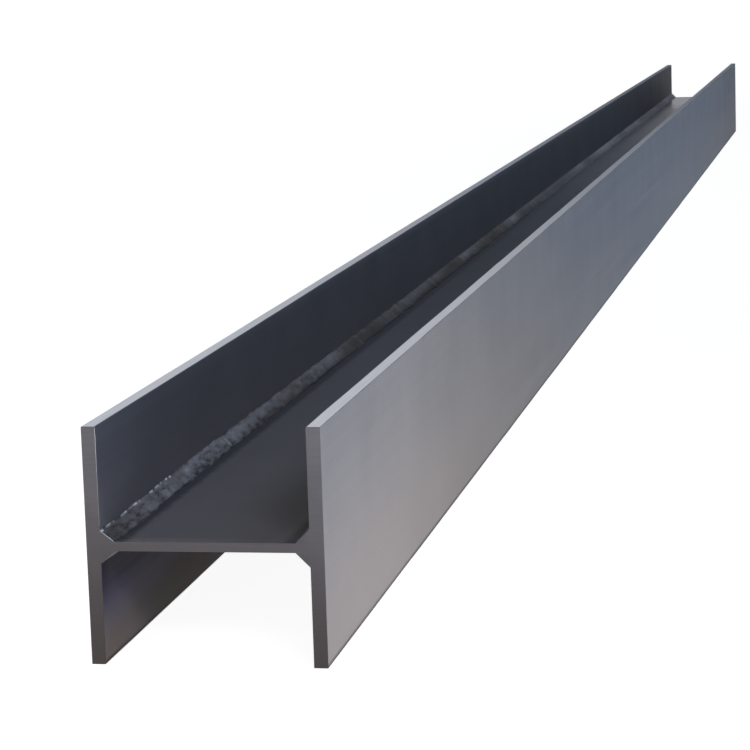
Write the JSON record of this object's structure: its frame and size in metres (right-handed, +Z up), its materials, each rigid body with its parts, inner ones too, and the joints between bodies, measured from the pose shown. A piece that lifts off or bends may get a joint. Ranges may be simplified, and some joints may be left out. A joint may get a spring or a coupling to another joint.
{
  "type": "welded steel h-beam",
  "caption": "Length of structural steel H-section built up from a level web plate and upright flange plates, joined by fillet welds along the inner corners.",
  "frame": {"origin": "on the floor, under the middle of the beam's length and section", "axes": "+X across the beam from the left flange to the right one, +Y along the beam, +Z up, square to the web"},
  "size_m": [0.2, 6, 0.2],
  "materials": {
    "mill_scale_steel": "satin blue-grey mill scale on hot-rolled plate, brighter on the worn edges",
    "weld_metal": "rough dark weld bead with crescent ripples and bright toes"
  },
  "bodies": {
    "root": {"web_plate": "mill_scale_steel", "left_flange_plate": "mill_scale_steel", "right_flange_plate": "mill_scale_steel", "upper_left_weld_bead": "weld_metal", "upper_right_weld_bead": "weld_metal", "lower_left_weld_bead": "weld_metal", "lower_right_weld_bead": "weld_metal"}
  },
  "joints": []
}
